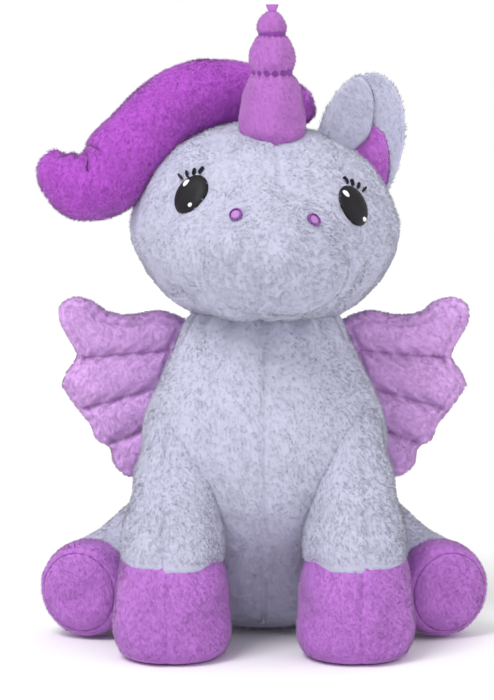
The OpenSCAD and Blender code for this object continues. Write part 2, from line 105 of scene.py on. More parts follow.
def mesh_object(name, points, quads, fans, smooth=True):
    """A Blender object at the origin from arrays of points, four-sided faces and three-sided faces."""
    quads, fans = outward(points, quads, fans)
    mesh = bpy.data.meshes.new(name)
    mesh.from_pydata(points, [], [])
    loops = np.concatenate([quads.ravel(), fans.ravel()]).astype(np.int32)
    starts = np.concatenate([np.arange(len(quads)) * 4, len(quads) * 4 + np.arange(len(fans)) * 3]).astype(np.int32)
    mesh.loops.add(len(loops))
    mesh.loops.foreach_set("vertex_index", loops)
    mesh.polygons.add(len(starts))
    mesh.polygons.foreach_set("loop_start", starts)
    mesh.polygons.foreach_set("use_smooth", np.full(len(starts), smooth))
    mesh.update(calc_edges=True)
    mesh.validate()
    made = bpy.data.objects.new(name, mesh)
    bpy.context.collection.objects.link(made)
    return made


def set_attribute(piece, name, values):
    """Store one number a point on the piece, for its material to read."""
    piece.data.attributes.new(name, "FLOAT", "POINT").data.foreach_set("value", np.asarray(values, np.float32))


print("tools ready")

# %% [markdown]
# ## Fabric and thread
#
# All the fabrics here are knitted pile: thousands of fine hairs that stand on a thin backing. From a distance
# this shows as clumps that lie different ways, each a little lighter or darker. One node group makes that
# pattern, and each fabric places it with its own colour and scale.

# %% One pattern for every pile


def pile_pattern():
    """Group: a colour broken up by clumps and mottling, with a height for the hairs. Reads object coordinates."""
    group = bpy.data.node_groups.new("pile pattern", "ShaderNodeTree")
    face = group.interface
    for name, kind, value in (("Color", "NodeSocketColor", (0.5, 0.5, 0.5, 1)), ("Clump", "NodeSocketFloat", 300.0),
                              ("Contrast", "NodeSocketFloat", 0.25), ("Tint", "NodeSocketFloat", 0.5)):
        face.new_socket(name, in_out="INPUT", socket_type=kind).default_value = value
    face.new_socket("Color", in_out="OUTPUT", socket_type="NodeSocketColor")
    face.new_socket("Height", in_out="OUTPUT", socket_type="NodeSocketFloat")
    nodes, links = group.nodes, group.links
    given, out = nodes.new("NodeGroupInput"), nodes.new("NodeGroupOutput")
    place = nodes.new("ShaderNodeTexCoord")

    def noise(scale_from, factor, detail):
        made = nodes.new("ShaderNodeTexNoise")
        made.inputs["Detail"].default_value = detail
        scale = nodes.new("ShaderNodeMath")
        scale.operation = "MULTIPLY"
        scale.inputs[1].default_value = factor
        links.new(scale_from, scale.inputs[0])
        links.new(scale.outputs[0], made.inputs["Scale"])
        links.new(place.outputs["Object"], made.inputs["Vector"])
        return made.outputs["Fac"]

    def math(kind, a, b):
        made = nodes.new("ShaderNodeMath")
        made.operation = kind
        for socket, value in zip(made.inputs, (a, b)):
            if isinstance(value, (int, float)):
                socket.default_value = value
            else:
                links.new(value, socket)
        return made.outputs[0]

    clumps = noise(given.outputs["Clump"], 1, 3)
    hairs = noise(given.outputs["Clump"], 6, 2)
    mottle = noise(given.outputs["Clump"], 0.12, 2)
    mixed = math("ADD", math("MULTIPLY", clumps, 0.45), math("ADD", math("MULTIPLY", hairs, 0.3),
                                                               math("MULTIPLY", mottle, 0.25)))
    swing = math("MULTIPLY", math("SUBTRACT", mixed, 0.5), given.outputs["Contrast"])
    # The Tint input adds each point's tone, which on the tufts holds painted shade at their roots and painted light at
    # their tips.
    tone_and_shade = math("ADD", math("MULTIPLY", swing, 4), math("SUBTRACT", given.outputs["Tint"], 0.5))
    bright = nodes.new("ShaderNodeHueSaturation")
    links.new(given.outputs["Color"], bright.inputs["Color"])
    links.new(math("ADD", tone_and_shade, 1), bright.inputs["Value"])
    links.new(bright.outputs["Color"], out.inputs["Color"])
    links.new(math("ADD", math("MULTIPLY", clumps, 0.6), math("MULTIPLY", hairs, 0.4)), out.inputs["Height"])
    return group


pile_group = pile_pattern()
print("pattern:", pile_group.name)

# %% Fabrics that use it


def fabric(name, color, clump, contrast=0.25, height=0.0006, sheen=0.5, rough=0.85, tone_and_root_shade=None):
    """Material: pile pattern into colour and bump, on a rough surface with a soft sheen at grazing angles."""
    made = bpy.data.materials.new(name)
    made.use_nodes = True
    nodes, links = made.node_tree.nodes, made.node_tree.links
    surface = nodes["Principled BSDF"]
    surface.inputs["Roughness"].default_value = rough
    surface.inputs["Specular IOR Level"].default_value = 0.2
    surface.inputs["Sheen Weight"].default_value = sheen
    surface.inputs["Sheen Roughness"].default_value = 0.4
    surface.inputs["Sheen Tint"].default_value = tuple(0.5 + 0.5 * c for c in color) + (1,)
    pattern = nodes.new("ShaderNodeGroup")
    pattern.node_tree = pile_group
    pattern.inputs["Color"].default_value = (*color, 1)
    pattern.inputs["Clump"].default_value = clump
    pattern.inputs["Contrast"].default_value = contrast
    # The pile fabrics read a tone for each point, which on the tufts carries painted shade at their roots and painted
    # light at their tips.
    if tone_and_root_shade:
        read = nodes.new("ShaderNodeAttribute")
        read.attribute_name = tone_and_root_shade
        links.new(read.outputs["Fac"], pattern.inputs["Tint"])
    bump = nodes.new("ShaderNodeBump")
    bump.inputs["Distance"].default_value = height
    links.new(pattern.outputs["Height"], bump.inputs["Height"])
    links.new(pattern.outputs["Color"], surface.inputs["Base Color"])
    links.new(bump.outputs["Normal"], surface.inputs["Normal"])
    return made


print("fabric() ready")

# %% The fabrics and threads of this toy
lavender_color = (0.495, 0.495, 0.635)
purple_color = (0.41, 0.083, 0.53)
hoof_color = (0.48, 0.18, 0.60)
horn_color = (0.41, 0.145, 0.485)
wing_color = (0.68, 0.39, 0.79)

lavender_pile = fabric("lavender pile", lavender_color, 330, 0.10, 0.0004, tone_and_root_shade="tone_and_root_shade")
purple_pile = fabric("purple pile", purple_color, 330, 0.16, 0.0004, tone_and_root_shade="tone_and_root_shade")
hoof_pile = fabric("hoof pile", hoof_color, 380, 0.16, 0.0004, tone_and_root_shade="tone_and_root_shade")
wing_pile = fabric("wing pile", wing_color, 380, 0.16, 0.0004, tone_and_root_shade="tone_and_root_shade")
lining_pile = fabric("lining pile", (0.54, 0.165, 0.64), 420, 0.16, 0.0004, tone_and_root_shade="tone_and_root_shade")
horn_pile = fabric("horn pile", horn_color, 500, 0.12, 0.0003, tone_and_root_shade="tone_and_root_shade")
black_thread = fabric("black thread", (0.008, 0.007, 0.01), 1500, 0.5, 0.0001, 0.15, 0.45)
white_thread = fabric("white thread", (0.85, 0.85, 0.88), 1500, 0.15, 0.0001, 0.1, 0.5)
pale_thread = fabric("pale purple thread", (0.40, 0.19, 0.48), 1200, 0.4, 0.0001, 0.2, 0.5)
purple_thread = fabric("purple thread", (0.22, 0.05, 0.30), 1200, 0.4, 0.0001, 0.2, 0.5)
fibre_filling = fabric("fibre filling", (0.85, 0.85, 0.85), 200, 0.2, 0.001, 0.3, 0.9)
pouch_cotton = fabric("pouch cotton", (0.68, 0.58, 0.42), 700, 0.2, 0.0003, 0.1, 0.9)
print("fabrics:", len(bpy.data.materials))

# %% [markdown]
# ## Stuffed skins
#
# A tightly stuffed panel is pushed outwards by its filling from the inside, so from a point in its middle it
# reaches out once in every direction. That makes it easy to describe: give each direction a distance. Three
# ellipsoids are mixed for the torso (hips, chest and neck) and two for the head (skull and muzzle), just as in
# the solids, and then the seams pull the surface in. A cloth simulation could puff the panels up instead, but
# it would round off the seams, so the points are moved along the skin's normal.

# %% How far a skin reaches in each direction


def reach(directions, middle, half):
    """Distance to an ellipsoid: the larger root of |(t d - m) / h|^2 = 1, or 0 where the ray misses."""
    a, b = directions / half, np.asarray(middle) / half
    ab, aa = (a * b).sum(-1), (a * a).sum(-1)
    room = ab ** 2 - aa * ((b * b).sum() - 1)
    return np.where(room < 0, 0, np.maximum(0, (ab + np.sqrt(np.maximum(room, 0))) / aa))


def directions_round(polar, around):
    """Unit vectors from two angles: sin(p) cos(a), sin(p) sin(a), cos(p)."""
    return np.stack([np.sin(polar) * np.cos(around), np.sin(polar) * np.sin(around), np.cos(polar)], -1)


class Skin:
    """A stuffed skin: a middle, three directions, ellipsoid lobes mixed by a 7th-power sum, and soft flats."""

    def __init__(self, middle, frame_rows, lobes, flats):
        self.middle, self.rows = np.array(middle), np.array(frame_rows)
        self.lobes = [(np.array(m), np.array(h)) for m, h in lobes]
        self.flats = [(np.array(n), d) for n, d in flats]

    def at(self, polar, around, lift=0.0):
        """Points at two angles: middle + r * direction, with 1/r^14 summed over the lobes and the flats."""
        local = directions_round(np.asarray(polar, float), np.asarray(around, float))
        world = local @ self.rows
        round_r = sum(reach(local, m, h) ** 7 for m, h in self.lobes) ** (1 / 7)
        total = round_r ** -14
        for normal, far in self.flats:
            facing = world @ normal
            total = total + (np.maximum(facing, 0) / far) ** 14
        return self.middle + world * (total ** (-1 / 14) + lift)[..., None]

    def normal(self, polar, around):
        """Outward unit normal, from two short steps along the surface."""
        step = 0.01
        along = self.at(polar + step, around) - self.at(polar - step, around)
        across = self.at(polar, around + step) - self.at(polar, around - step)
        return unit(np.cross(along, across))


def skin_grid(rows, cols):
    """The two angles of a grid over a whole skin, leaving out the two poles."""
    polar = np.linspace(0, np.pi, rows + 2)[1:-1]
    around = np.linspace(0, 2 * np.pi, cols, endpoint=False)
    return np.meshgrid(polar, around, indexing="ij")


print("skins ready")

# %% The torso's skin and the head's
upright = np.eye(3)
hip_half, chest_half, neck_height = 0.062, 0.054, 0.166
torso_skin = Skin(
    (0, -0.005, 0.080), upright,
    [((0, 0.022, -0.026), (hip_half, 0.050, 0.058)), ((0, -0.010, 0.020), (chest_half, 0.052, 0.062)),
     ((0, -0.008, 0.050), (0.74 * chest_half, 0.040, 0.060))],
    [((0, 0, -1), 0.0795), ((0, 0, 1), neck_height + 0.008 - 0.080), ((0, 1, 0), 0.064)])

head_turn, head_tilt = np.radians(4), np.radians(4)
head_side = unit((np.cos(head_turn), np.sin(head_turn), -np.tan(head_tilt)))
head_face = unit(np.cross(head_side, (0, 0, 1)))
head_up = np.cross(head_face, head_side)
head_skin = Skin(
    (0, -0.020, 0.206), (head_side, head_up, head_face),
    [((0, 0.004, 0), (0.065, 0.050, 0.051)), ((0, -0.009, 0.036), (0.040, 0.030, 0.032))],
    [((0, 0, -1), 0.043)])


print("torso reaches", np.round(torso_skin.at([np.pi / 2], [0.0])[0], 3))
print("head reaches", np.round(head_skin.at([0.0], [0.0])[0], 3))

# %% [markdown]
# ## Pile
#
# The hairs themselves matter most where a piece ends against the light: without them the edge looks like
# moulded rubber. A few thousand small tufts do for an ear, and 40,000 for the body. Each is a thin spike with
# its foot just under the skin, laid over in the direction that the pile was brushed. Hair particles would
# look finer, but a mesh can be exported with the toy.

# %% Tufts scattered evenly over a skin


def scatter(points, tris, per_mm2, most, seed):
    """Random places on a triangle mesh, so many a square millimetre, and the triangle that each one is in."""
    rng = np.random.default_rng(seed)
    a, b, c = (points[tris[:, k]] for k in range(3))
    area = np.linalg.norm(np.cross(b - a, c - a), axis=1) / 2
    count = int(min(most, per_mm2 * area.sum() * 1e6))
    chosen = rng.choice(len(tris), count, p=area / area.sum())
    u, v = rng.random((2, count))
    over = u + v > 1
    u, v = np.where(over, 1 - u, u), np.where(over, 1 - v, v)
    return a[chosen] + (b - a)[chosen] * u[:, None] + (c - a)[chosen] * v[:, None], chosen


def point_normals(piece):
    """One smooth normal a point of a mesh."""
    found = np.empty(len(piece.data.vertices) * 3)
    piece.data.vertex_normals.foreach_get("vector", found)
    return found.reshape(-1, 3)


def mesh_arrays(piece):
    """Points and triangles of a finished mesh as arrays."""
    mesh = piece.data
    mesh.calc_loop_triangles()
    points, tris = np.empty(len(mesh.vertices) * 3), np.empty(len(mesh.loop_triangles) * 3, np.int32)
    mesh.vertices.foreach_get("co", points)
    mesh.loop_triangles.foreach_get("vertices", tris)
    return points.reshape(-1, 3), tris.reshape(-1, 3)


print("places for tufts ready")

# %% One tuft at each place


def pile(name, base, per_mm2, length, brush, seed, lie=1.0, width=0.00026, keep=None, most=40000, root_shade_tip_light=0.04):
    """Three-sided spikes on a base: foot + length * (cos(lie) * normal + sin(lie) * brushed direction)."""
    rng = np.random.default_rng(seed)
    points, tris = mesh_arrays(base)
    foot, chosen = scatter(points, tris, per_mm2, most, seed + 1)
    normal = unit(point_normals(base)[tris[chosen]].mean(1))
    if keep is not None:
        good = rng.random(len(foot)) < keep(foot)
        foot, normal = foot[good], normal[good]
    count = len(foot)
    size = (length(foot) if callable(length) else np.full(count, length)) * rng.uniform(0.6, 1.25, count)
    swirl = np.stack([undulation(foot, 0.022, seed + k) for k in range(3)], -1) * 0.8
    brushed = brush(foot) + swirl + rng.normal(scale=0.35, size=(count, 3))
    brushed = unit(brushed - (brushed * normal).sum(1, keepdims=True) * normal)
    lean = np.sin(lie) * brushed + np.cos(lie) * normal
    tip = foot + lean * size[:, None]
    side = unit(np.cross(normal, brushed))
    thick = width * rng.uniform(0.7, 1.3, count)[:, None]
    root = foot - normal * 0.0005
    behind = root - side * thick * 0.5
    corners = np.concatenate([root + side * thick, behind + brushed * thick, behind - brushed * thick, tip])
    k = np.arange(count)
    faces = np.concatenate([np.stack(f, 1) for f in (
        (k, k + count, k + 3 * count), (k + count, k + 2 * count, k + 3 * count), (k + 2 * count, k, k + 3 * count),
        (k, k + 2 * count, k + count))])
    made = mesh_object(name, corners, np.empty((0, 4), int), faces)
    # Each tuft has a random tone, painted darker at its foot and lighter at its tip: painted shade down among the
    # hairs, painted light on their ends.
    shade = np.clip(0.5 + 0.02 * rng.normal(size=count) + 0.03 * undulation(foot, 0.012, seed + 9), 0.35, 0.65)
    set_attribute(made, "tone_and_root_shade", np.concatenate([shade - root_shade_tip_light, shade - root_shade_tip_light, shade - root_shade_tip_light, shade + root_shade_tip_light]))
    soft = unit(0.85 * normal + 0.15 * lean)
    made.data.normals_split_custom_set_from_vertices(np.tile(soft, (4, 1)))
    return made


print("pile ready")

# %% Finishing a piece, and ways the pile lies


def finish_piece(piece, body, material, replaced=()):
    """Give a piece its material, its body and the solids that it stands for."""
    piece.data.materials.append(material)
    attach(piece, body)
    if replaced:
        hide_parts(*replaced)
    if "tone_and_root_shade" not in piece.data.attributes and material.name.endswith("pile"):
        set_attribute(piece, "tone_and_root_shade", np.full(len(piece.data.vertices), 0.49))
    return piece


def combed(way):
    """A nap that lies one way all over."""
    return lambda foot: np.tile(np.array(way, float), (len(foot), 1))


def higher_than(z):
    """Keeps the tufts whose foot is above z."""
    return lambda foot: foot[:, 2] > z


brushed_down = combed((0, 0, -1))
print("finishing ready")

# %% [markdown]
# ## The torso
#
# Left and right panels meet in one seam down the front and back. The thread pulls the seam a couple of
# millimetres under the pile, and the panels swell beside it.

# %% Torso
polar, around = skin_grid(150, 240)
rings = torso_skin.at(polar, around, 0.0018)
swell = torso_skin.normal(polar, around)
beside_seam = np.abs(rings[..., 0])
dent = -0.0013 * bump_at(beside_seam, 0.0012) - 0.0008 * bump_at(beside_seam, 0.006)
low = rings[..., 2] < 0.004
dent = np.where(low, 0, dent + 0.0011 * undulation(rings, 0.045, 3) + 0.0003 * undulation(rings, 0.012, 4))
from_shoulder = np.abs(rings) * (1, 0, 0) + rings * (0, 1, 1) - (0.050, -0.034, 0.106)
dent = dent + 0.0070 * bump_at(np.linalg.norm(from_shoulder / (0.024, 0.030, 0.030), axis=-1), 1)
gather = smooth_step(rings[..., 2], 0.140, 0.168) * 0.0012 * np.sin(around * 17)
rings = rings + swell * np.maximum(dent + gather, -0.0024)[..., None]
rings[..., 2] = np.maximum(rings[..., 2], 0.0002)
body_cover = mesh_object("body_cover", *close_rings(rings))
finish_piece(body_cover, "torso", lavender_pile,
             ("body_panel_left", "body_panel_right", "seat_panel"))
body_pile = pile("body_pile", body_cover, 0.9, 0.0024, brushed_down, 11,
                 keep=lambda p: (p[:, 2] > 0.004) * (1 - 0.7 * bump_at(np.abs(p[:, 0]), 0.0012)))
finish_piece(body_pile, "torso", lavender_pile)
print("torso points:", len(body_cover.data.vertices), "tufts:", len(body_pile.data.vertices) // 4)

# %% [markdown]
# ## The head
#
# The head is one stuffed shape with a muzzle that bulges out of its front. A seam runs down the forehead and
# turns aside above the muzzle, and a short one closes the chin. The pile on the muzzle is left longer.

# %% Head seams, as lines across the front of the face


def from_line(points, corners):
    """Distance from each point to a bent line through corners: the least of its distances to the pieces."""
    best = np.full(points.shape[:-1], 1e9)
    for a, b in zip(corners[:-1], corners[1:]):
        a, b = np.array(a), np.array(b)
        t = np.clip(((points - a) @ (b - a)) / ((b - a) @ (b - a)), 0, 1)
        best = np.minimum(best, np.linalg.norm(points - a - t[..., None] * (b - a), axis=-1))
    return best


def on_face(points):
    """Side, up and forward of each point, seen from the middle of the head, in metres."""
    return (points - head_skin.middle) @ head_skin.rows.T


forehead_seam = [(0, 0.060), (0.001, 0.038), (0.002, 0.027), (0.008, 0.023), (0.020, 0.021)]
chin_seam = [(-0.001, -0.060), (-0.001, -0.030)]


def face_bulge(points):
    """How far the muzzle swells out of the skin: 4.2 mm in its middle, nothing past its edge, and 1.8 mm of crease."""
    seen = on_face(points)
    out = np.where(seen[..., 2] > 0, np.hypot((seen[..., 0] - 0.003) / 0.037, (seen[..., 1] + 0.012) / 0.028), 9)
    sides = smooth_step(-seen[..., 1], -0.006, 0.012)
    return 0.0042 * (1 - smooth_step(out, 0.60, 1.0)) - 0.0018 * sides * bump_at(out - 1.0, 0.06)


def seam_near(points):
    """Distance to the nearest seam of the face, and far behind it."""
    seen = on_face(points)
    flat = np.minimum(from_line(seen[..., :2], forehead_seam), from_line(seen[..., :2], chin_seam))
    return np.where(seen[..., 2] > 0, flat, np.abs(seen[..., 0]))


print("seams of the face:", len(forehead_seam), "and", len(chin_seam), "corners")

# %% Head
polar, around = skin_grid(132, 200)
rings = head_skin.at(polar, around, 0.0016)
swell = head_skin.normal(polar, around)
seam = seam_near(rings)
dent = -0.0013 * bump_at(seam, 0.0012) - 0.0003 * bump_at(seam, 0.004)
dent = dent + face_bulge(rings)
dent = dent + 0.0010 * undulation(rings, 0.040, 21) + 0.0003 * undulation(rings, 0.011, 22)
rings = rings + swell * np.maximum(dent, -0.0020)[..., None]
head_cover = mesh_object("head_cover", *close_rings(rings))
finish_piece(head_cover, "head", lavender_pile,
             ("head_panel_left", "head_panel_right", "muzzle_panel"))


def muzzle_share(points):
    """1 on the front of the muzzle, 0 on the rest of the head."""
    seen = on_face(points)
    out = np.hypot(seen[..., 0] / 0.036, (seen[..., 1] + 0.009) / 0.026)
    return (seen[..., 2] > 0) * (1 - smooth_step(out, 0.6, 1.1))


def brushed_from_nose(foot):
    """The pile runs away from the tip of the muzzle, and downwards."""
    seen = on_face(foot)
    away = np.stack([seen[:, 0], seen[:, 1] + 0.004, np.zeros(len(foot))], -1)
    return unit(away) @ head_skin.rows + np.array([0, 0, -0.5])


head_pile = pile("head_pile", head_cover, 1.0, lambda p: 0.0022 + 0.0012 * muzzle_share(p), brushed_from_nose, 31,
                 keep=lambda p: (p[:, 2] > 0.165) * (1 - 0.7 * bump_at(seam_near(p), 0.0012)))
finish_piece(head_pile, "head", lavender_pile)
print("head points:", len(head_cover.data.vertices), "tufts:", len(head_pile.data.vertices) // 4)

# %% [markdown]
# ## Embroidered face
#
# Eyes and nostrils are satin stitch: rows of thread side by side, raised a little above the fabric. Each is a
# low dome laid on the head's skin, ribbed across by its own threads, so that light shows its relief.

# %% A pad of satin stitch on the head
pad_depth = 0.0022


def stitched_pad(name, at, half, lean, lift, height, rows=22, cols=72, threads=26, hole=0.0):
    """Dome on the head: at each share s and turn t the height is lift + height * (1 - s^4) with thread ribs."""
    share = np.linspace(hole, 1, rows)[:, None]
    turn = np.linspace(0, 2 * np.pi, cols, endpoint=False)[None, :]
    p, q = half[0] * share * np.cos(turn), half[1] * share * np.sin(turn)
    polar = at[0] + p * np.cos(lean) - q * np.sin(lean)
    around = at[1] + (p * np.sin(lean) + q * np.cos(lean)) / np.sin(at[0])
    ribs = 0.00010 * np.abs(np.sin(q / half[1] * threads * np.pi / 2))
    middle = (1 + hole) / 2
    crown = 1 - (np.abs(share - middle) / (1 - middle)) ** 4 if hole else 1 - share ** 4
    top = lift + height * crown + ribs * (crown > 0.02)
    bulge = face_bulge(head_skin.at(polar, around))
    upper = head_skin.at(polar, around, top + bulge)
    lower = head_skin.at(polar, around, lift - pad_depth + bulge)
    rings = np.concatenate([upper, lower[::-1]])
    return mesh_object(name, *(ring_faces(rings) if hole else close_rings(rings)))


def ring_faces(rings):
    """Points and faces of a closed ring of rings, with no ends."""
    rows, cols = rings.shape[:2]
    here = np.arange(rows * cols).reshape(rows, cols)
    beside, below = np.roll(here, -1, axis=1), np.roll(here, -1, axis=0)
    quads = np.stack([here, beside, np.roll(beside, -1, axis=0), below], -1).reshape(-1, 4)
    return rings.reshape(-1, 3), quads, np.empty((0, 3), int)


print("stitching ready")

# %% Eyes, glints and lashes
deg = np.pi / 180
eye_places = {"left": (47 * deg, 25 * deg, 1), "right": (47 * deg, 155 * deg, -1)}
glint_places = {"left": ((-1.9, 8.9), (1.6, -10.0)), "right": ((4.7, -4.2), (-4.4, 6.4))}
for side, (polar_at, around_at, sign) in eye_places.items():
    eye = stitched_pad(f"eye_{side}_stitch", (polar_at, around_at), (8.2 * deg, 10 * deg), -4 * deg * sign,
                       0.0023, 0.0016)
    finish_piece(eye, "head", black_thread, (f"eye_{side}",))
    for glint, (p, q), half in zip(("large", "small"), glint_places[side], ((1.1, 2.0), (0.95, 1.1))):
        dot = stitched_pad(f"glint_{glint}_{side}", (polar_at + p * deg, around_at + q * deg),
                           (half[0] * deg, half[1] * deg), 0, 0.0035, 0.0009, 10, 32, 10)
        finish_piece(dot, "head", white_thread, (f"eye_glints_{side}",) if glint == "large" else ())
    for i in range(4):
        lash = stitched_pad(
            f"lash_{side}_{i + 1}", (polar_at + (4.5 + 2.2 * i) * deg, around_at + sign * (15.6 - 3.4 * i) * deg),
            (0.35 * deg, (2.1 - 0.1 * i) * deg), -sign * (18 + 16 * i) * deg, 0.0031, 0.0008, 8, 24, 6)
        finish_piece(lash, "head", black_thread, (f"lashes_{side}",) if i == 0 else ())
print("eyes stitched:", len(eye_places))

# %% Nostrils: a pale disc with a darker rim
for side, around_at in (("left", 30 * deg), ("right", 150 * deg)):
    nostril = stitched_pad(f"nostril_{side}_stitch", (19 * deg, around_at), (2.3 * deg, 2.3 * deg), 0,
                           0.0026, 0.0014, 12, 48, 12)
    finish_piece(nostril, "head", pale_thread, (f"nostril_{side}",))
    rim = stitched_pad(f"nostril_{side}_rim", (19 * deg, around_at), (2.8 * deg, 2.8 * deg), 0,
                       0.0026, 0.0016, 10, 48, 20, hole=0.75)
    finish_piece(rim, "head", purple_thread)
print("nostrils stitched")

# %% [markdown]
# ## The horn
#
# A cone of smooth cloth is stuffed and then bound twice with thread. The binding gathers the cloth into small
# pleats that open out again within a few millimetres, which is what makes the three bulges. One outline swept
# round keeps the cloth whole, where three balls would only touch.

# %% Smooth curves through a few points


def curve_through(corners, count):
    """Catmull-Rom curve, p = (2b + (c - a) t + (2a - 5b + 4c - d) t^2 + (3b - a - 3c + d) t^3) / 2 a stretch."""
    corners = np.asarray(corners, float)
    ends = np.concatenate([2 * corners[:1] - corners[1:2], corners, 2 * corners[-1:] - corners[-2:-1]])
    s = np.linspace(0, len(corners) - 1, count)
    k = np.minimum(s.astype(int), len(corners) - 2)
    t = (s - k)[:, None]
    a, b, c, d = (ends[k + j] for j in range(4))
    return (2 * b + (c - a) * t + (2 * a - 5 * b + 4 * c - d) * t ** 2 + (3 * b - a - 3 * c + d) * t ** 3) / 2


def turned_profile(profile, turn, swell=1.0):
    """A profile of (radius, height) pairs swept round the upright axis, with its radius times swell."""
    radius = profile[:, :1] * swell
    return np.stack([radius * np.cos(turn), radius * np.sin(turn), np.repeat(profile[:, 1:], len(turn), 1)], -1)


print("curves ready")

# %% Horn cloth
horn_root, horn_r, horn_length = np.array((0.004, -0.036, 0.259)), 0.016, 0.057
horn_foot = horn_r / horn_length
horn_outline = [(0.12, -horn_foot), (0.7, -0.72 * horn_foot), (1, -0.05), (1, 0.06), (0.97, 0.18), (0.88, 0.31),
                (0.74, 0.42), (0.60, 0.475), (0.66, 0.52), (0.71, 0.58), (0.66, 0.68), (0.52, 0.765), (0.39, 0.805),
                (0.43, 0.84), (0.43, 0.89), (0.33, 0.955), (0.14, 1)]
bindings = (0.477, 0.805)
profile = curve_through(horn_outline, 150)
turn = np.linspace(0, 2 * np.pi, 120, endpoint=False)
near_binding = sum(bump_at(profile[:, 1] - b, 0.055) for b in bindings)[:, None]
pleats = near_binding * np.sin(turn * 15 + 15 * profile[:, 1:])
ring = turned_profile(profile * (horn_r, horn_length), turn, 1 + 0.055 * pleats)
ring = ring + 0.0006 * undulation(ring, 0.014, 41)[..., None] * unit(ring * (1, 1, 0) + 1e-9)
lean_sin, lean_cos = np.sin(np.radians(5)), np.cos(np.radians(5))
horn_rows = np.array([(1, 0, 0), (0, lean_cos, lean_sin), (0, -lean_sin, lean_cos)])
horn = mesh_object("horn_cloth", *close_rings(ring @ horn_rows + horn_root))
finish_piece(horn, "horn", horn_pile, ("horn_cover",))
horn_tufts = pile("horn_pile", horn, 2.2, 0.0011, brushed_down, 43, width=0.00018)
finish_piece(horn_tufts, "horn", horn_pile)
print("horn points:", len(horn.data.vertices))

# %% Threads round the horn, and the tab at its tip


def torus_coil(middle, rows, big, small, turns, name):
    """Thread wound turns times round a ring: a tube whose centre climbs a little with each turn."""
    along = np.linspace(0, 2 * np.pi * turns, 64 * turns)
    round_tube = np.linspace(0, 2 * np.pi, 10, endpoint=False)
    climb = (along / (2 * np.pi) - turns / 2) * small * 1.7
    spread = big + small * np.cos(round_tube)[None, :]
    local = np.stack([np.cos(along)[:, None] * spread, np.sin(along)[:, None] * spread,
                      climb[:, None] + small * np.sin(round_tube)[None, :]], -1)
    return mesh_object(name, *close_rings(local @ rows + middle))


for i, (share, width) in enumerate(zip(bindings, (0.60, 0.39))):
    thread = torus_coil(horn_root + np.array([0, 0, share * horn_length]) @ horn_rows, horn_rows,
                        width * horn_r + 0.0001, 0.00042, 4, f"horn_thread_{i + 1}")
    finish_piece(thread, "horn", purple_thread, ("horn_threads",) if i == 0 else ())
tab_across = np.linspace(0, 2 * np.pi, 40, endpoint=False)
tab_up = np.linspace(-0.002, 0.0036, 14)
tab_half = 0.0017 + 0.0014 * smooth_step(tab_up, -0.001, 0.0036)
tab = np.stack([np.outer(tab_half, np.cos(tab_across)), 0.0009 * np.outer(np.ones(14), np.sin(tab_across)),
                np.repeat(tab_up[:, None] + horn_length, 40, 1)], -1)
horn_tab = mesh_object("horn_tab", *close_rings(tab @ horn_rows + horn_root))
finish_piece(horn_tab, "horn", horn_pile)
print("horn bound in", len(bindings), "places")

# %% [markdown]
# ## The mane and the tail
#
# Both are long tubes of purple pile, turned and stuffed. A stuffed tube that bends wrinkles on the inside of
# its bend, because the cloth there is too long.

# %% A stuffed tube along a path


def stuffed_tube(path, radii, count, sides=84, seed=1, wrinkle=0.0):
    """Rings across a curve: centre + r * (cos a * across + sin a * over), wrinkled on the inside of bends.

    There r shrinks to r / (1 + (r / 0.7 R)^4)^(1/4), R the radius of the bend, so that rings never cross.
    """
    centre = curve_through(path, count)
    r = curve_through(np.stack([radii, radii], 1), count)[:, 0]
    forward = unit(np.gradient(centre, axis=0))
    across = unit(np.cross(np.array((0.03, 1, 0.02)), forward))
    over = np.cross(forward, across)
    bend = np.gradient(forward, axis=0) / np.linalg.norm(np.gradient(centre, axis=0), axis=1)[:, None]
    a = np.linspace(0, 2 * np.pi, sides, endpoint=False)
    spoke = np.cos(a)[None, :, None] * across[:, None] + np.sin(a)[None, :, None] * over[:, None]
    curl = (spoke * bend[:, None]).sum(-1)
    inside = np.clip(curl * 0.012, 0, 1)
    length = np.concatenate([[0], np.cumsum(np.linalg.norm(np.diff(centre, axis=0), axis=1))])
    folds = -wrinkle * inside * (0.5 + 0.5 * np.sin(length[:, None] * 2 * np.pi / 0.011))
    tight = np.clip(curl * r[:, None] / 0.7, 0, 9)
    reach_out = np.maximum(r, 0.0004)[:, None] * (1 + tight ** 4) ** -0.25
    rings = centre[:, None] + spoke * (reach_out + folds * (tight < 0.8))[..., None]
    return rings + 0.0009 * undulation(rings, 0.028, seed)[..., None] * spoke


print("tubes ready")

# %% Mane
mane_r = 0.018
mane_points = np.array([(17, 7, 259), (14, 7, 263), (6, 6, 269), (-8, 4, 273), (-29, -5, 274), (-49, -16, 265.5),
                        (-64, -24, 250), (-77, -30, 236), (-89, -34, 231), (-98, -35, 236), (-103, -35, 242),
                        (-105, -35, 248)]) / 1000
mane_shares = np.array([0.4, 0.76, 0.88, 0.94, 0.98, 1, 1, 0.98, 0.88, 0.72, 0.55, 0.10])
mane_rings = stuffed_tube(mane_points, mane_shares * (mane_r + 0.0014), 260, seed=51, wrinkle=0.0012)
mane = mesh_object("mane_cover_pile", *close_rings(mane_rings))
finish_piece(mane, "mane", purple_pile, ("mane_cover",))
mane_tufts = pile("mane_pile", mane, 1.5, 0.0021, combed((-0.8, -0.2, -0.6)), 53, root_shade_tip_light=0.08)
finish_piece(mane_tufts, "mane", purple_pile)

print("mane points:", len(mane.data.vertices))

